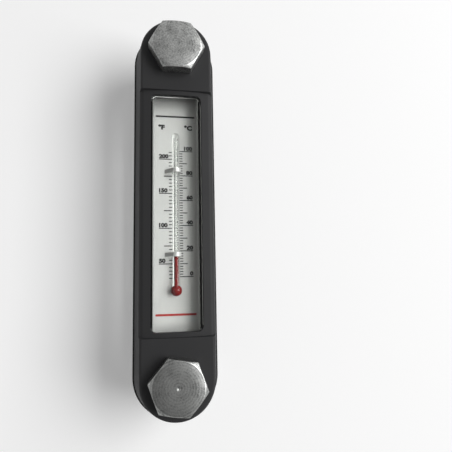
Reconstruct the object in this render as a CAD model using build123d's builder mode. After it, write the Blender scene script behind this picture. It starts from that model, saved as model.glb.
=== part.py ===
"""Tank level gauge with thermometer, for two hollow M12 bolts at 127 mm centres.

Row frame: +Z up along the gauge, +X to the right seen from the front, front towards -Y.
The origin is midway between the bolts, on the tank wall that the rubber seals press on.
Heights are distances from that wall towards the front, so a height h lies at y = -h.
"""
from build123d import *
from math import acos, atan, atan2, cos, degrees, hypot, radians, sin, tan
import os

os.makedirs("parts", exist_ok=True)

# ---- driving dimensions, mm ----
bolt_spacing = 127.0
bolt_z = bolt_spacing / 2

# heights over the tank wall
cover_back = 3.5
frame_back = 5.1
weld_plane = 6.6
dial_back = 9.2
dial_front = 10.0
chamber_front = 14.6
body_front = 15.9
pane_front = 17.1
plateau = 19.4
head_top = 24.4

# black frame: a drafted shell with a lip round its back edge
end_inset = 1.0
lip_r = 16.35
lip_thickness = 1.2
wall_r_back = 16.05
wall_r_front = 13.6
wall_draft = degrees(atan((wall_r_back - wall_r_front) / (plateau - frame_back)))
pocket_clearance = 0.2
head_hole_r = 6.4
edge_round = 1.0

# window and the crowned, lower stretch of the frame round it
window_half_width = 9.65
window_half_length = 45.15
window_corner_r = 2.2
saddle_half_length = 47.0
saddle_floor = 14.9
saddle_end_slope = 70.0
crown_top = 18.95
crown_edge = 18.3
crown_half_width = 12.3
shoulder_half_width = 14.15
shoulder_foot = 16.6

# clear body and its welded back cover
body_r = 12.8
pane_gap = 0.15
chamber_half_width = 8.6
chamber_half_length = 51.0
chamber_corner_r = 1.5
dial_step = 1.0
dial_bay_half_width = 9.0
bolt_bore_r = 6.2
ring_channel_r = 7.6
channel_back = 8.2
channel_front = 13.8
duct_half_width = 2.5
wing_half_width = 15.2
wing_half_length = 47.6
wing_corner_r = 1.0
wing_back = 4.9
cover_chamfer = 0.4
rebate_gap = 0.1
rib_positions = (-24.5, 0.0, 24.5)
rib_thickness = 1.4
rib_inner = 3.0
rib_outer = 7.6

# dial plate with two straps lanced out of it over the thermometer
dial_half_width = 8.85
dial_half_length = 50.85
dial_corner_r = 1.0
notch_r = 2.0
notch_z = 49.5
strap_positions = (-16.5, 16.5)
strap_width = 1.6
strap_thickness = 0.45
strap_foot = -4.3
slot_left = -3.9
slot_margin = 0.15

# thermometer
stem_axis = 12.25
stem_r = 1.5
bulb_r = 2.2
bulb_z = -30.2
stem_top = 31.6
stem_shoulder = 0.8
capillary_r = 0.55
bulb_wall = 0.35
bulb_facets = 8
capillary_end = 29.5
reading_c = 18.0

# printed scales
ink = 0.06
mm_per_degree_c = 0.5
middle_c = 50.0
mark_thickness = 0.36
celsius_marks = range(0, 101, 2)
celsius_ends = {"root": 1.3, "short": 2.85, "medium": 4.6, "long": 6.8}
fahrenheit_marks = range(30, 211, 5)
fahrenheit_ends = {"root": -1.4, "short": -2.6, "medium": -4.55, "long": -6.5}
rule_z = 39.4
rule_half_width = 7.8
black_rule_thickness = 0.7
red_rule_thickness = 0.85

# hollow bolts; the thread inside the nuts is drawn at its pitch radius
thread_r = 6.0
pitch_r = 5.43
shank_r = 6.0
free_thread_from = -10.8
head_flats = 18.7
head_circle_r = 9.22
chamfer_angle = 30.0
head_turn = {"upper": 0.0, "lower": -9.7}
bolt_end = -15.6
thread_chamfer = 0.9
oil_bore_r = 3.0
oil_bore_top = 13.6
cross_hole_r = 2.0
cross_hole_height = 11.0
centre_r = 0.9
centre_depth = 0.6

# flange nuts
nut_flats = 18.0
nut_length = 10.5
nut_circle_r = 8.7
flange_r = 12.0
flange_rim = 1.3
flange_cone_r = 10.5
flange_cone_height = 3.4
nut_countersink_r = 6.6
nut_turn = {"upper": 12.0, "lower": 26.0}

# rubber
seal_r = 12.4
seal_bore_r = 6.15
ring_section_r = 0.9
ring_pocket_r = 8.1


# ---- sizes that follow from the ones above ----
bolt_points = ((0, bolt_z), (0, -bolt_z))
end_spacing = bolt_spacing - 2 * end_inset
duct_middle = (chamber_half_length + bolt_z) / 2
duct_length = bolt_z - chamber_half_length + 2 * dial_step
rib_middle = (rib_inner + rib_outer) / 2
rib_length = rib_outer - rib_inner
spirit_top = mm_per_degree_c * (reading_c - middle_c)
head_corner_r = head_flats / 2 / cos(radians(30))
head_chamfer = (head_corner_r - head_circle_r) * tan(radians(chamfer_angle))
nut_corner_r = nut_flats / 2 / cos(radians(30))
nut_chamfer = (nut_corner_r - nut_circle_r) * tan(radians(chamfer_angle))


def wall(height):
    """Plane parallel to the tank wall, seen from the front."""
    return Plane.XZ.offset(height)


def across(z):
    """Plane across the gauge at z: x to the right, y the height over the wall."""
    return Plane(origin=(0, 0, z), x_dir=(1, 0, 0), z_dir=(0, 0, -1))


def lengthwise(x):
    """Plane along the gauge at x: x along the gauge, y the height over the wall."""
    return Plane(origin=(x, 0, 0), x_dir=(0, 0, 1), z_dir=(1, 0, 0))


def save(part, label):
    """Name a finished piece and write it as a STEP file of its own."""
    part.label = label
    export_step(part, f"parts/{label}.step")


# ---- black frame ----

# the space over the crowned stretch: above an arc across the gauge, between two ramps along it
with BuildPart() as saddle:
    with BuildSketch(across(saddle_half_length + plateau)):
        with BuildLine():
            crown = ThreePointArc(
                (-crown_half_width, crown_edge), (0, crown_top), (crown_half_width, crown_edge)
            )
            right = TangentArc(crown @ 1, (shoulder_half_width, shoulder_foot), tangent=crown % 1)
            left = TangentArc(crown @ 0, (-shoulder_half_width, shoulder_foot), tangent=-(crown % 0))
            Polyline(
                right @ 1,
                (2 * lip_r, shoulder_foot),
                (2 * lip_r, head_top),
                (-2 * lip_r, head_top),
                (-2 * lip_r, shoulder_foot),
                left @ 1,
            )
        make_face()
    extrude(amount=2 * (saddle_half_length + plateau))
    with BuildSketch(lengthwise(0)):
        ramp_foot = saddle_half_length - (plateau - saddle_floor) / tan(radians(saddle_end_slope))
        ramp_crest = saddle_half_length + (head_top - plateau) / tan(radians(saddle_end_slope))
        Polygon(
            (-ramp_foot, saddle_floor),
            (ramp_foot, saddle_floor),
            (ramp_crest, head_top),
            (-ramp_crest, head_top),
            align=None,
        )
    extrude(amount=2 * lip_r, both=True, mode=Mode.INTERSECT)

with BuildPart() as frame:
    with BuildSketch(wall(frame_back)):
        SlotCenterToCenter(end_spacing, 2 * wall_r_back, rotation=90)
    extrude(amount=plateau - frame_back, taper=wall_draft)
    fillet(frame.faces().sort_by(Axis.Y)[0].outer_wire().edges(), radius=edge_round)
    add(saddle.part, mode=Mode.SUBTRACT)
    # lip round the back edge
    with BuildSketch(wall(frame_back)):
        SlotCenterToCenter(end_spacing, 2 * lip_r, rotation=90)
    extrude(amount=lip_thickness)
    # pocket for the clear body, open at the back
    with BuildSketch(wall(frame_back)):
        SlotCenterToCenter(end_spacing, 2 * (body_r + pocket_clearance), rotation=90)
    extrude(amount=body_front - frame_back, mode=Mode.SUBTRACT)
    # rebate for the back cover's side wings
    with BuildSketch(wall(frame_back)):
        RectangleRounded(
            2 * (wing_half_width + rebate_gap), 2 * (wing_half_length + rebate_gap), wing_corner_r
        )
    extrude(amount=weld_plane - frame_back, mode=Mode.SUBTRACT)
    # window and bolt holes
    with BuildSketch(wall(body_front)):
        RectangleRounded(2 * window_half_width, 2 * window_half_length, window_corner_r)
        with Locations(*bolt_points):
            Circle(head_hole_r)
    extrude(amount=head_top - body_front, mode=Mode.SUBTRACT)
save(frame.part, "frame")


# ---- clear body: the front half holds the oil chamber, open at the weld plane ----
with BuildPart() as sight_body:
    with BuildSketch(wall(weld_plane)):
        SlotCenterToCenter(end_spacing, 2 * body_r, rotation=90)
    extrude(amount=body_front - weld_plane)
    with BuildSketch(wall(body_front)):
        RectangleRounded(
            2 * (window_half_width - pane_gap), 2 * (window_half_length - pane_gap), window_corner_r
        )
    extrude(amount=pane_front - body_front)
    # oil chamber, with a step that the dial plate lies against
    with BuildSketch(wall(weld_plane)):
        RectangleRounded(2 * dial_bay_half_width, 2 * chamber_half_length, chamber_corner_r)
    extrude(amount=dial_front - weld_plane, mode=Mode.SUBTRACT)
    with BuildSketch(wall(dial_front)):
        RectangleRounded(
            2 * chamber_half_width, 2 * (chamber_half_length - dial_step), chamber_corner_r
        )
    extrude(amount=chamber_front - dial_front, mode=Mode.SUBTRACT)
    # bolt bores
    with BuildSketch(wall(weld_plane)):
        with Locations(*bolt_points):
            Circle(bolt_bore_r)
    extrude(amount=body_front - weld_plane, mode=Mode.SUBTRACT)
    # ring channels round the bolts, each with a duct to the chamber
    with BuildSketch(wall(channel_back)):
        with Locations(*bolt_points):
            Circle(ring_channel_r)
        with Locations((0, duct_middle), (0, -duct_middle)):
            Rectangle(2 * duct_half_width, duct_length)
    extrude(amount=channel_front - channel_back, mode=Mode.SUBTRACT)
    # pockets for the rings that seal the bolts
    with BuildSketch(wall(body_front - 2 * ring_section_r)):
        with Locations(*bolt_points):
            Circle(ring_pocket_r)
    extrude(amount=2 * ring_section_r, mode=Mode.SUBTRACT)
save(sight_body.part, "sight_body")


# ---- back cover: welded to the clear body, with ribs that press the dial plate on its step ----
with BuildPart() as back_cover:
    with BuildSketch(wall(cover_back)):
        SlotCenterToCenter(end_spacing, 2 * body_r, rotation=90)
    extrude(amount=weld_plane - cover_back)
    chamfer(back_cover.faces().sort_by(Axis.Y)[-1].outer_wire().edges(), length=cover_chamfer)
    with BuildSketch(wall(wing_back)):
        RectangleRounded(2 * wing_half_width, 2 * wing_half_length, wing_corner_r)
    extrude(amount=weld_plane - wing_back)
    with BuildSketch(wall(weld_plane)):
        with Locations(*[(side * rib_middle, z) for z in rib_positions for side in (-1, 1)]):
            Rectangle(rib_length, rib_thickness)
    extrude(amount=dial_back - weld_plane)
    with BuildSketch(wall(cover_back)):
        with Locations(*bolt_points):
            Circle(bolt_bore_r)
    extrude(amount=weld_plane - cover_back, mode=Mode.SUBTRACT)
save(back_cover.part, "back_cover")


# ---- dial plate: sheet aluminium, with two straps lanced up over the thermometer ----
# a strap's middle line: a slanted left leg, an arc round the stem, an upright right leg
strap_r = stem_r + strap_thickness / 2
leg_right = stem_r + strap_thickness
foot_height = (dial_back + dial_front) / 2
foot_distance = hypot(strap_foot, stem_axis - foot_height)
foot_angle = 180 + degrees(atan2(stem_axis - foot_height, -strap_foot))
touch_angle = foot_angle - degrees(acos(strap_r / foot_distance))
touch_x = strap_r * cos(radians(touch_angle))
touch_height = stem_axis + strap_r * sin(radians(touch_angle))

with BuildPart() as dial_plate:
    with BuildSketch(wall(dial_back)):
        RectangleRounded(2 * dial_half_width, 2 * dial_half_length, dial_corner_r)
        with Locations((0, notch_z), (0, -notch_z)):
            Circle(notch_r, mode=Mode.SUBTRACT)
        with Locations((0, notch_z + notch_r), (0, -notch_z - notch_r)):
            Rectangle(2 * notch_r, 2 * notch_r, mode=Mode.SUBTRACT)
        with Locations(*[((slot_left + strap_r) / 2, z) for z in strap_positions]):
            Rectangle(strap_r - slot_left, strap_width + 2 * slot_margin, mode=Mode.SUBTRACT)
    extrude(amount=dial_front - dial_back)
    for z in strap_positions:
        with BuildSketch(across(z)):
            with BuildLine():
                Line((strap_foot, foot_height), (touch_x, touch_height))
                CenterArc((0, stem_axis), strap_r, touch_angle, -touch_angle)
                Line((strap_r, stem_axis), (strap_r, dial_back))
            trace(line_width=strap_thickness)
        extrude(amount=strap_width / 2, both=True)
save(dial_plate.part, "dial_plate")


# ---- thermometer: a glass stem with a bulb, and the coloured spirit inside it ----
stem = Plane(origin=(0, -stem_axis, 0), x_dir=(1, 0, 0), z_dir=(0, -1, 0))
stem_line = Axis((0, -stem_axis, 0), (0, 0, 1))

with BuildPart() as thermometer_glass:
    with BuildSketch(stem):
        with Locations((0, bulb_z)):
            RegularPolygon(bulb_r, bulb_facets)
        with Locations((0, (bulb_z + stem_top - stem_shoulder) / 2)):
            Rectangle(2 * stem_r, stem_top - stem_shoulder - bulb_z)
        Polygon(
            (-stem_r, stem_top - stem_shoulder),
            (stem_r, stem_top - stem_shoulder),
            (stem_r - stem_shoulder, stem_top),
            (stem_shoulder - stem_r, stem_top),
            align=None,
        )
        with Locations((0, bulb_z)):
            RegularPolygon(bulb_r - bulb_wall, bulb_facets, mode=Mode.SUBTRACT)
        with Locations((0, (bulb_z + capillary_end) / 2)):
            Rectangle(2 * capillary_r, capillary_end - bulb_z, mode=Mode.SUBTRACT)
        with Locations((-bulb_r, 0)):
            Rectangle(2 * bulb_r, bolt_spacing, mode=Mode.SUBTRACT)
    revolve(axis=stem_line)
save(thermometer_glass.part, "thermometer_glass")

with BuildPart() as thermometer_spirit:
    with BuildSketch(stem):
        with Locations((0, bulb_z)):
            RegularPolygon(bulb_r - bulb_wall, bulb_facets)
        with Locations((0, (bulb_z + spirit_top) / 2)):
            Rectangle(2 * capillary_r, spirit_top - bulb_z)
        with Locations((-bulb_r, 0)):
            Rectangle(2 * bulb_r, bolt_spacing, mode=Mode.SUBTRACT)
    revolve(axis=stem_line)
save(thermometer_spirit.part, "thermometer_spirit")


# ---- printing on the dial: marks every 2 and 10 degrees C, every 5, 25 and 50 degrees F ----
def mark_end(value, ends, long_step, medium_step, medium_rest):
    """Outer end of a scale mark: long, medium or short by its value."""
    if value % long_step == 0:
        return ends["long"]
    if value % medium_step == medium_rest:
        return ends["medium"]
    return ends["short"]


def print_scale(marks):
    """Scale marks given as (z, root, end), printed as thin bars, cut away at the straps' slots."""
    with BuildPart() as scale:
        with BuildSketch(wall(dial_front)):
            for z, root, end in marks:
                with Locations(((root + end) / 2, z)):
                    Rectangle(abs(end - root), mark_thickness)
            with Locations(*[((slot_left + leg_right) / 2, z) for z in strap_positions]):
                Rectangle(leg_right - slot_left, strap_width + 2 * slot_margin, mode=Mode.SUBTRACT)
        extrude(amount=ink)
    return scale.part


celsius = [
    (mm_per_degree_c * (t - middle_c), celsius_ends["root"], mark_end(t, celsius_ends, 20, 20, 10))
    for t in celsius_marks
]
save(print_scale(celsius), "celsius_scale")

fahrenheit = [
    (
        mm_per_degree_c * ((t - 32) / 1.8 - middle_c),
        fahrenheit_ends["root"],
        mark_end(t, fahrenheit_ends, 50, 50, 25),
    )
    for t in fahrenheit_marks
]
save(print_scale(fahrenheit), "fahrenheit_scale")

with BuildPart() as upper_rule:
    with BuildSketch(wall(dial_front)):
        with Locations((0, rule_z)):
            Rectangle(2 * rule_half_width, black_rule_thickness)
    extrude(amount=ink)
save(upper_rule.part, "upper_level_rule")

with BuildPart() as lower_rule:
    with BuildSketch(wall(dial_front)):
        with Locations((0, -rule_z)):
            Rectangle(2 * rule_half_width, red_rule_thickness)
    extrude(amount=ink)
save(lower_rule.part, "lower_level_rule")


# ---- fastenings and seals, one set at each end ----
for end, z in (("upper", bolt_z), ("lower", -bolt_z)):
    here = Plane(origin=(0, 0, z), x_dir=(1, 0, 0), z_dir=(0, -1, 0))
    axis = Axis((0, 0, z), (0, -1, 0))
    towards_chamber = 2 * thread_r if z > 0 else -2 * thread_r

    # hollow bolt: hexagon head, shank, an oil bore from the tip and a cross hole to meet it
    with BuildPart() as bolt:
        with BuildSketch(here.offset(plateau)):
            RegularPolygon(head_flats / 2, 6, major_radius=False, rotation=head_turn[end])
        extrude(amount=head_top - plateau)
        with BuildSketch(across(z)):
            Polygon(
                (0, plateau),
                (head_corner_r + head_chamfer, plateau),
                (head_corner_r + head_chamfer, head_top - head_chamfer),
                (head_corner_r, head_top - head_chamfer),
                (head_circle_r, head_top),
                (0, head_top),
                align=None,
            )
        revolve(axis=axis, mode=Mode.INTERSECT)
        with BuildSketch(across(z)):
            Polygon(
                (0, plateau),
                (shank_r, plateau),
                (shank_r, 0),
                (pitch_r, 0),
                (pitch_r, free_thread_from),
                (thread_r, free_thread_from),
                (thread_r, bolt_end + thread_chamfer),
                (thread_r - thread_chamfer, bolt_end),
                (0, bolt_end),
                align=None,
            )
        revolve(axis=axis)
        with BuildSketch(here.offset(bolt_end)):
            Circle(oil_bore_r)
        extrude(amount=oil_bore_top - bolt_end, mode=Mode.SUBTRACT)
        with BuildSketch(across(z)):
            with Locations((0, cross_hole_height)):
                Circle(cross_hole_r)
        extrude(amount=towards_chamber, mode=Mode.SUBTRACT)
        # lathe centre in one head
        if end == "lower":
            with BuildSketch(across(z)):
                Polygon((0, head_top - centre_depth), (centre_r, head_top), (0, head_top), align=None)
            revolve(axis=axis, mode=Mode.SUBTRACT)
    save(bolt.part, f"{end}_bolt")

    # flange nut, chamfered and countersunk at its free end, its thread drawn at the pitch radius
    with BuildPart() as nut:
        with BuildSketch(here.offset(-nut_length)):
            RegularPolygon(nut_flats / 2, 6, major_radius=False, rotation=nut_turn[end])
        extrude(amount=nut_length - flange_rim / 2)
        with BuildSketch(across(z)):
            Polygon(
                (0, -flange_rim / 2),
                (nut_corner_r + nut_chamfer, -flange_rim / 2),
                (nut_corner_r + nut_chamfer, -nut_length + nut_chamfer),
                (nut_corner_r, -nut_length + nut_chamfer),
                (nut_circle_r, -nut_length),
                (0, -nut_length),
                align=None,
            )
        revolve(axis=axis, mode=Mode.INTERSECT)
        with BuildSketch(across(z)):
            Polygon(
                (0, 0),
                (flange_r, 0),
                (flange_r, -flange_rim),
                (flange_cone_r, -flange_cone_height),
                (0, -flange_cone_height),
                align=None,
            )
        revolve(axis=axis)
        with BuildSketch(across(z)):
            Polygon(
                (0, 0),
                (pitch_r, 0),
                (pitch_r, nut_countersink_r - pitch_r - nut_length),
                (nut_countersink_r, -nut_length),
                (0, -nut_length),
                align=None,
            )
        revolve(axis=axis, mode=Mode.SUBTRACT)
    save(nut.part, f"{end}_nut")

    # flat rubber seal between the back cover and the wall
    with BuildPart() as wall_seal:
        with BuildSketch(here):
            Circle(seal_r)
            Circle(seal_bore_r, mode=Mode.SUBTRACT)
        extrude(amount=cover_back)
    save(wall_seal.part, f"{end}_wall_seal")

    # ring in the clear body's pocket, round the shank
    with BuildPart() as head_ring:
        with BuildSketch(across(z)):
            with Locations((shank_r + ring_section_r, body_front - ring_section_r)):
                Rectangle(2 * ring_section_r, 2 * ring_section_r)
        revolve(axis=axis)
    save(head_ring.part, f"{end}_head_o_ring")
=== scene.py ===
import math

import bmesh
import bpy
from mathutils import Euler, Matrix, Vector


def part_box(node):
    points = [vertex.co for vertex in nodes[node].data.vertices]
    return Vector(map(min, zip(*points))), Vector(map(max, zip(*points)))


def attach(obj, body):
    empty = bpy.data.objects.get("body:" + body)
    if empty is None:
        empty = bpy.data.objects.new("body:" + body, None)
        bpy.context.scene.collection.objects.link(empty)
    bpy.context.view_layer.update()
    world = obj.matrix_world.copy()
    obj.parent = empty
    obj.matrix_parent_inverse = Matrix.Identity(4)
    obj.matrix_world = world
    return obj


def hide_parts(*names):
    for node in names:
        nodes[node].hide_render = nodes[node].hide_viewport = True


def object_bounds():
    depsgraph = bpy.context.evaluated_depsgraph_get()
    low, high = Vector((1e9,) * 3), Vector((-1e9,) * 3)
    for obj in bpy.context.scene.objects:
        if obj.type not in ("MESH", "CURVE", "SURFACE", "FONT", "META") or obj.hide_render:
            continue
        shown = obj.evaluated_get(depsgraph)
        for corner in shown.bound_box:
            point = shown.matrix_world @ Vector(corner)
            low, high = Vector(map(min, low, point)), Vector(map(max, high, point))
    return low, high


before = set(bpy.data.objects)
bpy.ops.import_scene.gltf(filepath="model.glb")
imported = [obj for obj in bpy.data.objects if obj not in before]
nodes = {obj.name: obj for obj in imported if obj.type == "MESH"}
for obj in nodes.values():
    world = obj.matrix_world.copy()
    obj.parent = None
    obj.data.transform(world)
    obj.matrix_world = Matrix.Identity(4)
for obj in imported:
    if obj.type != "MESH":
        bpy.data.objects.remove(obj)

# the box of the imported solids, which places the table and the lamp
solid_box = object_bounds()
MM = 0.001


# ---------------------------------------------------------------- materials

def hex_colour(text):
    """sRGB hex, such as "d8d8d6", to a linear colour with alpha."""
    parts = [int(text[i:i + 2], 16) / 255 for i in (0, 2, 4)]
    linear = [c / 12.92 if c <= 0.04045 else ((c + 0.055) / 1.055) ** 2.4 for c in parts]
    return (*linear, 1.0)


def add(tree, kind, inputs=None, **settings):
    """Adds a node with its settings; an input takes a value or the socket that feeds it."""
    made = tree.nodes.new(kind)
    for name, value in settings.items():
        setattr(made, name, value)
    for name, value in (inputs or {}).items():
        if isinstance(value, bpy.types.NodeSocket):
            tree.links.new(value, made.inputs[name])
        else:
            made.inputs[name].default_value = value
    return made


def new_material(name):
    """An empty material; gives it with its tree, its output and the place on the object in metres."""
    material = bpy.data.materials.new(name)
    material.use_nodes = True
    tree = material.node_tree
    tree.nodes.clear()
    output = add(tree, "ShaderNodeOutputMaterial")
    place = add(tree, "ShaderNodeTexCoord").outputs["Object"]
    return material, tree, output, place


def two_tone(tree, factor, dark, light):
    """Colour between two hex values, by a factor from 0 to 1."""
    ramp = add(tree, "ShaderNodeValToRGB", {"Fac": factor})
    ramp.color_ramp.elements[0].color = hex_colour(dark)
    ramp.color_ramp.elements[1].color = hex_colour(light)
    return ramp.outputs["Color"]


def spread(tree, factor, low, high):
    """Brings a 0 to 1 value to a range."""
    return add(
        tree, "ShaderNodeMapRange", {"Value": factor, "To Min": low, "To Max": high}
    ).outputs["Result"]


def moulded_polyamide():
    """Black glass-filled polyamide from a spark-eroded mould: dark, satin, with a fine even grain."""
    material, tree, output, place = new_material("moulded_black_polyamide")
    # grain of 0.15 mm in the mould, drawn at 0.35 mm so that it shows
    grain = add(tree, "ShaderNodeTexNoise", {"Vector": place, "Scale": 2800.0, "Detail": 3.0})
    # slow change of sheen where the fibre-filled melt flowed
    flow = add(tree, "ShaderNodeTexNoise", {"Vector": place, "Scale": 90.0, "Detail": 4.0})
    bump = add(
        tree,
        "ShaderNodeBump",
        {"Height": grain.outputs["Fac"], "Strength": 0.2, "Distance": 0.04 * MM},
    )
    shader = add(
        tree,
        "ShaderNodeBsdfPrincipled",
        {
            "Base Color": two_tone(tree, flow.outputs["Fac"], "0d0d0f", "151517"),
            "Roughness": spread(tree, flow.outputs["Fac"], 0.62, 0.74),
            "IOR": 1.53,
            "Normal": bump.outputs["Normal"],
        },
    )
    tree.links.new(shader.outputs["BSDF"], output.inputs["Surface"])
    return material


def clear_polyamide():
    """Clear amorphous polyamide, injection moulded in a polished mould: glassy, faintly grey-green."""
    material, tree, output, place = new_material("clear_moulded_polyamide")
    sink = add(tree, "ShaderNodeTexNoise", {"Vector": place, "Scale": 110.0, "Detail": 1.0})
    bump = add(
        tree,
        "ShaderNodeBump",
        {"Height": sink.outputs["Fac"], "Strength": 0.25, "Distance": 0.04 * MM},
    )
    shader = add(
        tree,
        "ShaderNodeBsdfPrincipled",
        {
            "Base Color": two_tone(tree, sink.outputs["Fac"], "eceeeb", "f3f4f2"),
            "Roughness": 0.005,
            "IOR": 1.51,
            "Transmission Weight": 1.0,
            "Normal": bump.outputs["Normal"],
        },
    )
    tree.links.new(shader.outputs["BSDF"], output.inputs["Surface"])
    return material


def zinc_plated_steel(name, centre, rings_share, speck_share, dark, light, roughness):
    """Zinc plated steel, its end face turned: rings round the axis, specks and a cloudy plating."""
    material, tree, output, place = new_material(name)
    from_axis = add(
        tree,
        "ShaderNodeVectorMath",
        {0: place, 1: (centre.x, 0.0, centre.z)},
        operation="SUBTRACT",
    ).outputs["Vector"]
    # feed marks of the lathe, about 1 mm apart, broken up by the plating
    rings = add(
        tree,
        "ShaderNodeTexWave",
        {"Vector": from_axis, "Scale": 320.0, "Distortion": 2.5, "Detail": 3.0, "Detail Scale": 3.0},
        wave_type="RINGS",
        rings_direction="Y",
    )
    # clouds of 4 mm and specks of 0.4 mm in the plating
    clouds = add(tree, "ShaderNodeTexNoise", {"Vector": from_axis, "Scale": 250.0, "Detail": 3.0})
    specks = add(tree, "ShaderNodeTexNoise", {"Vector": from_axis, "Scale": 2400.0, "Detail": 2.0})
    mixed = add(
        tree,
        "ShaderNodeMix",
        {"Factor": rings_share, "A": clouds.outputs["Fac"], "B": rings.outputs["Fac"]},
        data_type="FLOAT",
    ).outputs["Result"]
    speckled = add(
        tree,
        "ShaderNodeMix",
        {"Factor": speck_share, "A": mixed, "B": specks.outputs["Fac"]},
        data_type="FLOAT",
    ).outputs["Result"]
    # the noises keep near their middle, so their contrast is drawn out
    drawn_out = add(
        tree, "ShaderNodeMapRange", {"Value": speckled, "From Min": 0.36, "From Max": 0.64}
    ).outputs["Result"]
    bump = add(tree, "ShaderNodeBump", {"Height": drawn_out, "Strength": 0.35, "Distance": 0.02 * MM})
    shader = add(
        tree,
        "ShaderNodeBsdfPrincipled",
        {
            "Base Color": two_tone(tree, drawn_out, dark, light),
            "Metallic": 1.0,
            "Roughness": spread(tree, drawn_out, roughness + 0.08, roughness - 0.08),
            "Normal": bump.outputs["Normal"],
        },
    )
    tree.links.new(shader.outputs["BSDF"], output.inputs["Surface"])
    return material


def nitrile_rubber():
    """Black nitrile rubber, pressed: matt, with a thin grey bloom."""
    material, tree, output, place = new_material("pressed_nitrile_rubber")
    bloom = add(tree, "ShaderNodeTexNoise", {"Vector": place, "Scale": 420.0, "Detail": 5.0})
    bump = add(
        tree, "ShaderNodeBump", {"Height": bloom.outputs["Fac"], "Strength": 0.3, "Distance": 0.05 * MM}
    )
    shader = add(
        tree,
        "ShaderNodeBsdfPrincipled",
        {
            "Base Color": two_tone(tree, bloom.outputs["Fac"], "131314", "232324"),
            "Roughness": 0.62,
            "IOR": 1.5,
            "Normal": bump.outputs["Normal"],
        },
    )
    tree.links.new(shader.outputs["BSDF"], output.inputs["Surface"])
    return material


def satin_aluminium():
    """Aluminium sheet, brushed along its length and anodised: pale, silky, with hair lines."""
    material, tree, output, place = new_material("brushed_anodised_aluminium")
    # brush lines 0.05 mm apart, drawn at 0.2 mm so that they show, and 20 mm long
    stretched = add(
        tree, "ShaderNodeMapping", {"Vector": place, "Scale": (1.0, 1.0, 0.01)}
    ).outputs["Vector"]
    hair = add(tree, "ShaderNodeTexNoise", {"Vector": stretched, "Scale": 5000.0, "Detail": 3.0})
    bump = add(
        tree, "ShaderNodeBump", {"Height": hair.outputs["Fac"], "Strength": 0.12, "Distance": 0.02 * MM}
    )
    shader = add(
        tree,
        "ShaderNodeBsdfPrincipled",
        {
            "Base Color": two_tone(tree, hair.outputs["Fac"], "d0d0cf", "dddddc"),
            "Metallic": 0.5,
            "Roughness": spread(tree, hair.outputs["Fac"], 0.42, 0.5),
            "Normal": bump.outputs["Normal"],
        },
    )
    tree.links.new(shader.outputs["BSDF"], output.inputs["Surface"])
    return material


def printed_ink(name, dark, light):
    """Screen-printed ink on metal: flat, slightly uneven in cover."""
    material, tree, output, place = new_material(name)
    cover = add(tree, "ShaderNodeTexNoise", {"Vector": place, "Scale": 1800.0, "Detail": 3.0})
    shader = add(
        tree,
        "ShaderNodeBsdfPrincipled",
        {
            "Base Color": two_tone(tree, cover.outputs["Fac"], dark, light),
            "Roughness": 0.5,
            "IOR": 1.5,
        },
    )
    tree.links.new(shader.outputs["BSDF"], output.inputs["Surface"])
    return material


def drawn_glass():
    """Drawn thermometer glass: colourless, bright at its edges."""
    material, tree, output, place = new_material("drawn_stem_glass")
    draw_lines = add(tree, "ShaderNodeTexNoise", {"Vector": place, "Scale": 300.0, "Detail": 1.0})
    shader = add(
        tree,
        "ShaderNodeBsdfPrincipled",
        {
            "Base Color": two_tone(tree, draw_lines.outputs["Fac"], "f2f4f2", "fafbfa"),
            "Roughness": 0.02,
            "IOR": 1.48,
            "Transmission Weight": 1.0,
        },
    )
    tree.links.new(shader.outputs["BSDF"], output.inputs["Surface"])
    return material


def red_spirit():
    """Red dyed spirit: deep and glossy, seen through the glass."""
    material, tree, output, place = new_material("dyed_red_spirit")
    depth = add(tree, "ShaderNodeTexNoise", {"Vector": place, "Scale": 260.0, "Detail": 2.0})
    shader = add(
        tree,
        "ShaderNodeBsdfPrincipled",
        {
            "Base Color": two_tone(tree, depth.outputs["Fac"], "6e0508", "8c0c0e"),
            "Roughness": 0.12,
            "IOR": 1.36,
        },
    )
    tree.links.new(shader.outputs["BSDF"], output.inputs["Surface"])
    return material


def dress(material, *names):
    """Gives solids of the frame their material."""
    for name in names:
        mesh = nodes[name].data
        mesh.materials.clear()
        mesh.materials.append(material)


# ---------------------------------------------------------------- mesh pieces

def make_piece(name, bm, material, hard_angle=35.0, cavity_from=None):
    """Turns a bmesh in metres into a piece that rides on the gauge, smooth but for its hard edges.

    Faces from number cavity_from on bound a hollow inside, so they face inwards."""
    hollow = set(bm.faces[cavity_from:]) if cavity_from is not None else set()
    bmesh.ops.recalc_face_normals(bm, faces=[f for f in bm.faces if f not in hollow])
    if hollow:
        bmesh.ops.reverse_faces(bm, faces=list(hollow))
    else:
        bmesh.ops.remove_doubles(bm, verts=bm.verts, dist=0.002 * MM)
        bmesh.ops.recalc_face_normals(bm, faces=bm.faces)
    mesh = bpy.data.meshes.new(name)
    bm.to_mesh(mesh)
    bm.free()
    mesh.materials.append(material)
    mesh.shade_smooth()
    mesh.set_sharp_from_angle(angle=math.radians(hard_angle))
    piece = bpy.data.objects.new(name, mesh)
    bpy.context.scene.collection.objects.link(piece)
    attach(piece, "root")
    return piece


def lathe(profile, place, steps):
    """Turns a profile of (radius, distance) in mm; place(radius, distance, angle) gives the point."""
    bm = bmesh.new()
    rings = []
    for radius, distance in profile:
        if radius == 0:
            rings.append([bm.verts.new(place(0, distance, 0))] * steps)
        else:
            rings.append(
                [bm.verts.new(place(radius, distance, 2 * math.pi * k / steps)) for k in range(steps)]
            )
    for a, b in zip(rings, rings[1:]):
        for k in range(steps):
            corners = [a[k], a[(k + 1) % steps], b[(k + 1) % steps], b[k]]
            distinct = list(dict.fromkeys(corners))
            if len(distinct) > 2:
                bm.faces.new(distinct)
    return bm


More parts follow.
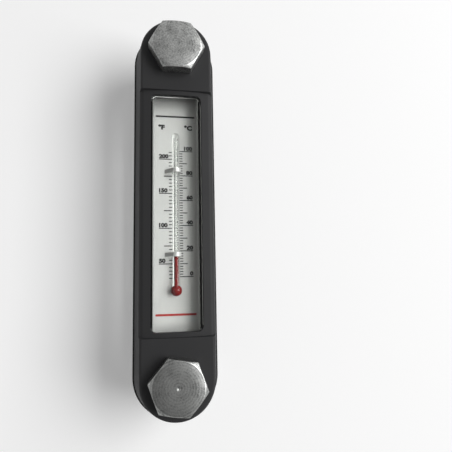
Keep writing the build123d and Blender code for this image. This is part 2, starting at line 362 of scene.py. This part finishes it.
def arc(centre, radius, start, end, steps):
    """Points of (radius, distance) on an arc, angles in degrees from the axis' right-hand side."""
    points = []
    for k in range(steps + 1):
        a = math.radians(start + (end - start) * k / steps)
        points.append((radius * math.cos(a), centre + radius * math.sin(a)))
    return points


# ---- hollow bolts, with the thread that the solids leave plain ----
HEAD_FLATS = 18.7
HEAD_CIRCLE = 9.22
HEAD_CHAMFER = math.tan(math.radians(30))
CENTRE_DOT = 0.85
CENTRE_DEPTH = 0.6
CENTRE_STEP = (0.45, 0.35)
CIRCLE_BREAK = 0.12
SIDE_BREAK = 0.1
EDGE_DROP = 0.03
FLAT_LEAST = 0.02
BOLT_STEPS = 96
SHANK = 6.0
THREAD_CREST = 6.0
INSIDE_NUT = 5.4
THREAD_PITCH = 1.75
THREAD_DEPTH = 0.613 * THREAD_PITCH
THREAD_ROWS = 12
THREAD_INSIDE_NUT = 0.4
BORE = 3.0
BORE_MOUTH = 0.6
BORE_TOP = 13.6
TIP_CONE = 0.95
HEAD_TURN = {"upper": 0.0, "lower": -9.7}


def thread_radius(turn, height, tip):
    """Radius of the thread where it has turned so far, cut down by the cone at the bolt's tip."""
    phase = (height / THREAD_PITCH + turn) % 1
    flank = min(phase, 1 - phase)
    crest, root = 1 / 16, 1 / 2 - 1 / 8
    share = min(max((flank - crest) / (root - crest), 0), 1)
    return min(THREAD_CREST - THREAD_DEPTH * share, THREAD_CREST - TIP_CONE + height - tip)


def hexagon_radius(angle, flats, turn):
    """Distance from the axis to a hexagon's side at an angle."""
    off = (math.degrees(angle) - turn) % 60 - 30
    return flats / 2 / math.cos(math.radians(off))


def build_bolt(end, material):
    """Hexagon head, shank, threaded tip and oil bore, all round the bolt's own axis."""
    low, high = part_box(end + "_bolt")
    nut_low, nut_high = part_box(end + "_nut")
    shelf = -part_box("frame")[0].y / MM
    top = -low.y / MM
    tip = -high.y / MM
    thread_top = -nut_high.y / MM + THREAD_INSIDE_NUT
    axis = Vector((0, 0, (nut_low.z + nut_high.z) / 2))
    turn = HEAD_TURN[end]
    steps = BOLT_STEPS
    angles = [math.radians(turn) + 2 * math.pi * k / steps for k in range(steps)]
    bm = bmesh.new()

    def ring(radius, height):
        """One ring; radius and height are numbers or functions of the angle."""
        made = []
        for a in angles:
            r = radius(a) if callable(radius) else radius
            h = height(a) if callable(height) else height
            made.append(bm.verts.new(Vector((r * math.cos(a), -h, r * math.sin(a))) * MM + axis))
        return made

    def point(height):
        return [bm.verts.new(Vector((0, -height, 0)) * MM + axis)] * steps

    def join(a, b):
        for k in range(steps):
            corners = [a[k], a[(k + 1) % steps], b[(k + 1) % steps], b[k]]
            distinct = list(dict.fromkeys(corners))
            if len(distinct) > 2:
                bm.faces.new(distinct)

    def side(a):
        return hexagon_radius(a, HEAD_FLATS, turn)

    def shoulder(a):
        return top - max(side(a) - HEAD_CIRCLE, FLAT_LEAST) * HEAD_CHAMFER

    centre = [
        point(top - CENTRE_DEPTH),
        ring(CENTRE_STEP[0], top - CENTRE_STEP[1]),
        ring(CENTRE_DOT, top),
    ]
    rings = centre if end == "lower" else [point(top)]
    rings += [
        ring(HEAD_CIRCLE / 2, top),
        ring(HEAD_CIRCLE - CIRCLE_BREAK, top),
        ring(HEAD_CIRCLE, top - EDGE_DROP),
        ring(lambda a: side(a) - SIDE_BREAK, lambda a: shoulder(a) + EDGE_DROP),
        ring(side, lambda a: shoulder(a) - 2 * EDGE_DROP),
        ring(side, shelf + CIRCLE_BREAK),
        ring(lambda a: side(a) - SIDE_BREAK, shelf),
        ring(SHANK, shelf),
        ring(SHANK, 0),
        ring(INSIDE_NUT, 0),
        ring(INSIDE_NUT, thread_top),
    ]
    for a, b in zip(rings, rings[1:]):
        join(a, b)

    # the thread's rows climb by one pitch in a turn, so the last column meets the first one pitch up
    count = math.ceil((thread_top - tip) / THREAD_PITCH + 2) * THREAD_ROWS
    columns = []
    for k, a in enumerate(angles):
        column = []
        for i in range(-THREAD_ROWS, count):
            height = tip + (i / THREAD_ROWS + k / steps) * THREAD_PITCH
            clamped = min(max(height, tip), thread_top)
            r = thread_radius(-k / steps, height, tip)
            if height <= tip:
                r = THREAD_CREST - TIP_CONE
            if height >= thread_top:
                r = INSIDE_NUT
            place = Vector((r * math.cos(a), -clamped, r * math.sin(a))) * MM + axis
            column.append(bm.verts.new(place))
        columns.append(column)
    rows = len(columns[0])
    for k in range(steps):
        last = k == steps - 1
        for i in range(rows - 1):
            j = i - THREAD_ROWS if last else i
            if j < 0:
                continue
            here, there = columns[k], columns[(k + 1) % steps]
            bm.faces.new([here[j], here[j + 1], there[i + 1], there[i]])

    inner = [
        ring(THREAD_CREST - TIP_CONE, tip),
        ring(BORE + BORE_MOUTH, tip),
        ring(BORE, tip + BORE_MOUTH),
        ring(BORE, BORE_TOP - BORE / 2),
        point(BORE_TOP),
    ]
    for a, b in zip(inner, inner[1:]):
        join(a, b)
    piece = make_piece(end + "_hollow_bolt", bm, material, hard_angle=32.0)
    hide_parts(end + "_bolt")
    return piece


# ---- thermometer: smooth glass and spirit in place of the solids' coarser ones ----
STEM = 1.5
BULB = 2.2
BULB_WALL = 0.35
CAPILLARY = 0.55
NECK = 0.5
WETTING = 0.015
CAPILLARY_END = 2.1
CAPILLARY_CLOSED = 1.8
MENISCUS_EDGE = 0.3
MENISCUS_FLAT = 0.05
GLASS_STEPS = 64
BORE_STEPS = 48


def stem_place(radius, distance, angle):
    """A point round the thermometer's upright axis."""
    low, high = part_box("thermometer_glass")
    x, y = (low.x + high.x) / 2, (low.y + high.y) / 2
    return Vector((x + radius * math.cos(angle) * MM, y + radius * math.sin(angle) * MM, distance * MM))


def build_thermometer(glass, spirit):
    """Glass stem and bulb with a capillary, and the spirit that wets it from inside."""
    low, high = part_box("thermometer_glass")
    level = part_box("thermometer_spirit")[1].z / MM
    bottom, top = low.z / MM, high.z / MM
    bulb = bottom + BULB
    meets = math.degrees(math.acos(STEM / BULB))
    outside = [(0, bottom)] + arc(bulb, BULB, -84, meets, 14)
    outside += [(STEM, bulb + BULB * math.sin(math.radians(meets)) + NECK)]
    outside += arc(top - STEM, STEM, 0, 84, 8) + [(0, top)]
    cavity = BULB - BULB_WALL
    opens = math.degrees(math.acos(CAPILLARY / cavity))
    inside = [(0, bulb - cavity)] + arc(bulb, cavity, -84, opens, 12)
    inside += [(CAPILLARY, top - CAPILLARY_END), (0, top - CAPILLARY_CLOSED)]

    bm = lathe(outside, stem_place, GLASS_STEPS)
    hollow = lathe(inside, stem_place, BORE_STEPS)
    bmesh.ops.recalc_face_normals(hollow, faces=hollow.faces)
    wall = bpy.data.meshes.new("capillary")
    hollow.to_mesh(wall)
    hollow.free()
    outer = len(bm.faces)
    bm.from_mesh(wall)
    bpy.data.meshes.remove(wall)
    bm.faces.ensure_lookup_table()
    stem = make_piece(
        "thermometer_stem_glass", bm, glass, 40.0, cavity_from=outer
    )
    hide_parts("thermometer_glass")

    full = cavity + WETTING
    opens = math.degrees(math.acos((CAPILLARY + WETTING) / full))
    column = [(0, bulb - full)] + arc(bulb, full, -84, opens, 12)
    column += [
        (CAPILLARY + WETTING, level - MENISCUS_EDGE),
        (MENISCUS_EDGE, level - MENISCUS_FLAT),
        (0, level),
    ]
    turned = lathe(column, stem_place, BORE_STEPS)
    liquid = make_piece("thermometer_spirit_column", turned, spirit, 40.0)
    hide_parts("thermometer_spirit")
    return stem, liquid


# ---- numbers and unit signs, printed like the marks ----
DIGIT_HEIGHT = 1.6
SIGN_HEIGHT = 2.0
NUMBER_LIFT = 0.5
WORD_WIDTH = 1.15
BOLDER = 0.07
SIGN_BASE = 34.0
SIGN_SHIFT = 0.3
INK = 0.05


def build_lettering(name, entries, material):
    """Flat printed words: entries of (text, x, baseline z, height, side), side -1 left, 1 right."""
    dial_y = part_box("celsius_scale")[1].y
    bm = bmesh.new()
    for text, x, z, height, side in entries:
        curve = bpy.data.curves.new("word", "FONT")
        curve.body = text
        curve.size = 1.0
        curve.extrude = 0.5
        curve.offset = BOLDER
        curve.resolution_u = 3
        word = bpy.data.objects.new("word", curve)
        bpy.context.scene.collection.objects.link(word)
        bpy.context.view_layer.update()
        mesh = word.evaluated_get(bpy.context.evaluated_depsgraph_get()).to_mesh()
        xs = [v.co.x for v in mesh.vertices]
        tall = max(v.co.y for v in mesh.vertices)
        size = height / tall
        start = max(xs) if side > 0 else min(xs)
        for v in mesh.vertices:
            v.co = Vector(
                (
                    (x + (v.co.x - start) * size * WORD_WIDTH) * MM,
                    dial_y - (v.co.z + 0.5) * INK * MM,
                    (z + v.co.y * size) * MM,
                )
            )
        bm.from_mesh(mesh)
        word.to_mesh_clear()
        bpy.data.objects.remove(word)
        bpy.data.curves.remove(curve)
    return make_piece(name, bm, material, 30.0)


# ---------------------------------------------------------------- the gauge

bolt_axes = {
    end: Vector((0, 0, sum(v.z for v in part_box(end + "_nut")) / 2)) for end in ("upper", "lower")
}
clear = clear_polyamide()
black_ink = printed_ink("screen_printed_black_ink", "070708", "0f0f11")
red_ink = printed_ink("screen_printed_red_ink", "a51c1c", "b82421")
upper_zinc = zinc_plated_steel(
    "zinc_plated_steel_cold_headed", bolt_axes["upper"], 0.1, 0.5, "6f706f", "d8d9d7", 0.42
)
lower_zinc = zinc_plated_steel(
    "zinc_plated_steel_turned", bolt_axes["lower"], 0.16, 0.4, "6a6b6a", "bcbdbb", 0.38
)
nut_zinc = {
    end: zinc_plated_steel(
        "bright_zinc_plated_nut_" + end, bolt_axes[end], 0.05, 0.2, "b4b5b3", "d6d7d5", 0.27
    )
    for end in ("upper", "lower")
}

dress(moulded_polyamide(), "frame")
dress(clear, "sight_body", "back_cover")
dress(satin_aluminium(), "dial_plate")
dress(black_ink, "celsius_scale", "fahrenheit_scale", "upper_level_rule")
dress(red_ink, "lower_level_rule")
dress(nitrile_rubber(), "upper_wall_seal", "lower_wall_seal", "upper_head_o_ring", "lower_head_o_ring")
dress(nut_zinc["upper"], "upper_nut")
dress(nut_zinc["lower"], "lower_nut")
dress(upper_zinc, "upper_bolt")
dress(lower_zinc, "lower_bolt")

build_bolt("upper", upper_zinc)
build_bolt("lower", lower_zinc)
build_thermometer(drawn_glass(), red_spirit())

celsius_low, celsius_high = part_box("celsius_scale")
fahrenheit_low, fahrenheit_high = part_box("fahrenheit_scale")
middle = (celsius_low.z + celsius_high.z) / 2 / MM
PER_DEGREE = 0.5
celsius_numbers = [
    (str(t), celsius_high.x / MM, middle + (t - 50) * PER_DEGREE + NUMBER_LIFT, DIGIT_HEIGHT, 1)
    for t in range(0, 101, 20)
]
fahrenheit_numbers = [
    (
        str(t),
        fahrenheit_low.x / MM,
        middle + ((t - 32) / 1.8 - 50) * PER_DEGREE + NUMBER_LIFT,
        DIGIT_HEIGHT,
        -1,
    )
    for t in range(50, 201, 50)
]
build_lettering("celsius_numbers", celsius_numbers, black_ink)
build_lettering("fahrenheit_numbers", fahrenheit_numbers, black_ink)
celsius_word = ("\u00b0C", celsius_high.x / MM, SIGN_BASE, SIGN_HEIGHT, 1)
fahrenheit_word = ("\u00b0F", fahrenheit_low.x / MM - SIGN_SHIFT, SIGN_BASE, SIGN_HEIGHT, -1)
build_lettering("celsius_sign", [celsius_word], black_ink)
build_lettering("fahrenheit_sign", [fahrenheit_word], black_ink)

# clear pieces let the lamps through to what is behind them
stem_glass = bpy.data.objects["thermometer_stem_glass"]
for see_through in (nodes["sight_body"], nodes["back_cover"], stem_glass):
    see_through.visible_shadow = False


# ---------------------------------------------------------------- table, light, camera
TABLE_GLOW = 0.23
TABLE_HALF = 0.6
TABLE_GAP = 0.0002
SIDE_LEVEL = 0.7
FRONT_LEVEL = 0.18
FILL_LEVEL = 0.2
CAMERA_PLACE = (-10.22, -176.66, -27.16)
CAMERA_TURN = (97.443, 1.172, -10.191)

def seen_through(tree, path):
    """1 for a ray that has only gone through clear pieces, so that it lights nothing behind them."""
    bounces = add(
        tree,
        "ShaderNodeMath",
        {0: path.outputs["Diffuse Depth"], 1: path.outputs["Glossy Depth"]},
        operation="ADD",
    )
    direct = add(tree, "ShaderNodeMath", {0: bounces.outputs[0], 1: 0.5}, operation="LESS_THAN")
    return add(
        tree,
        "ShaderNodeMath",
        {0: path.outputs["Is Transmission Ray"], 1: direct.outputs[0]},
        operation="MULTIPLY",
    ).outputs[0]


def table_paper():
    """White table paper: plain to the eye and in reflections, but it keeps the gauge's shadow."""
    material, tree, output, place = new_material("white_table_paper")
    path = add(tree, "ShaderNodeLightPath")
    seen = add(
        tree,
        "ShaderNodeMath",
        {0: path.outputs["Is Camera Ray"], 1: path.outputs["Is Glossy Ray"]},
        operation="MAXIMUM",
    )
    seen = add(
        tree, "ShaderNodeMath", {0: seen.outputs[0], 1: seen_through(tree, path)}, operation="MAXIMUM"
    )
    glow = add(tree, "ShaderNodeMath", {0: seen.outputs[0], 1: TABLE_GLOW}, operation="MULTIPLY")
    paper = add(tree, "ShaderNodeBsdfDiffuse", {"Color": hex_colour("e6e6e6")})
    light = add(tree, "ShaderNodeEmission", {"Strength": glow.outputs[0]})
    both = add(tree, "ShaderNodeAddShader", {0: paper.outputs["BSDF"], 1: light.outputs["Emission"]})
    clear_back = add(tree, "ShaderNodeBsdfTransparent")
    side = add(tree, "ShaderNodeNewGeometry").outputs["Backfacing"]
    sided = add(
        tree, "ShaderNodeMixShader", {"Fac": side, 1: both.outputs["Shader"], 2: clear_back.outputs["BSDF"]}
    )
    tree.links.new(sided.outputs["Shader"], output.inputs["Surface"])
    return material


def build_table():
    """The gauge lies on its nuts on a pale table, which in its own frame stands behind it."""
    y = solid_box[1].y + TABLE_GAP
    mesh = bpy.data.meshes.new("pale_table")
    corners = [
        (x * TABLE_HALF, y, z * TABLE_HALF) for x, z in ((-1, -1), (1, -1), (1, 1), (-1, 1))
    ]
    mesh.from_pydata(corners, [], [(0, 1, 2, 3)])
    mesh.materials.append(table_paper())
    table = bpy.data.objects.new("pale_table", mesh)
    bpy.context.scene.collection.objects.link(table)
    table.visible_shadow = False


def build_world():
    """White to the camera; dim towards the viewer's side and bright round it for reflections."""
    world = bpy.data.worlds.new("studio")
    bpy.context.scene.world = world
    world.use_nodes = True
    tree = world.node_tree
    tree.nodes.clear()
    output = add(tree, "ShaderNodeOutputWorld")
    path = add(tree, "ShaderNodeLightPath")
    direction = add(tree, "ShaderNodeTexCoord").outputs["Generated"]
    towards = add(
        tree, "ShaderNodeVectorMath", {0: direction, 1: (0.1, -1.0, -0.1)}, operation="DOT_PRODUCT"
    ).outputs["Value"]
    dim = add(
        tree,
        "ShaderNodeMapRange",
        {"Value": towards, "From Min": 0.45, "From Max": 0.85, "To Min": SIDE_LEVEL, "To Max": FRONT_LEVEL},
        interpolation_type="SMOOTHSTEP",
    ).outputs["Result"]
    reflected = add(tree, "ShaderNodeBackground", {"Color": hex_colour("ffffff"), "Strength": dim})
    fill = add(tree, "ShaderNodeBackground", {"Color": hex_colour("ffffff"), "Strength": FILL_LEVEL})
    plain = add(tree, "ShaderNodeBackground", {"Color": hex_colour("ffffff"), "Strength": 1.0})
    first = add(
        tree,
        "ShaderNodeMixShader",
        {"Fac": path.outputs["Is Glossy Ray"], 1: fill.outputs[0], 2: reflected.outputs[0]},
    )
    second = add(
        tree,
        "ShaderNodeMixShader",
        {"Fac": path.outputs["Is Camera Ray"], 1: first.outputs[0], 2: plain.outputs[0]},
    )
    third = add(
        tree,
        "ShaderNodeMixShader",
        {"Fac": seen_through(tree, path), 1: second.outputs[0], 2: plain.outputs[0]},
    )
    tree.links.new(third.outputs[0], output.inputs["Surface"])


def add_lamp(name, towards, distance, width, height, power):
    """A soft box that looks at the gauge from a direction."""
    centre = (solid_box[0] + solid_box[1]) / 2
    lamp = bpy.data.lights.new(name, "AREA")
    lamp.shape = "RECTANGLE"
    lamp.size = width
    lamp.size_y = height
    lamp.energy = power
    made = bpy.data.objects.new(name, lamp)
    made.location = centre + Vector(towards).normalized() * distance
    made.rotation_euler = (centre - made.location).to_track_quat("-Z", "Y").to_euler()
    bpy.context.scene.collection.objects.link(made)


build_table()
build_world()
add_lamp("soft_box", (0.65, -0.75, 0.10), 1.6, 0.96, 1.5, 26.5)

camera_data = bpy.data.cameras.new("camera")
camera_data.sensor_width = 36.0
camera_data.lens = 33.79
camera_data.clip_start = 0.01
camera_data.clip_end = 10.0
camera = bpy.data.objects.new("camera", camera_data)
camera.location = Vector(CAMERA_PLACE) * MM
camera.rotation_euler = Euler([math.radians(a) for a in CAMERA_TURN])
bpy.context.scene.collection.objects.link(camera)
bpy.context.scene.camera = camera
bpy.context.scene.view_settings.view_transform = "Standard"
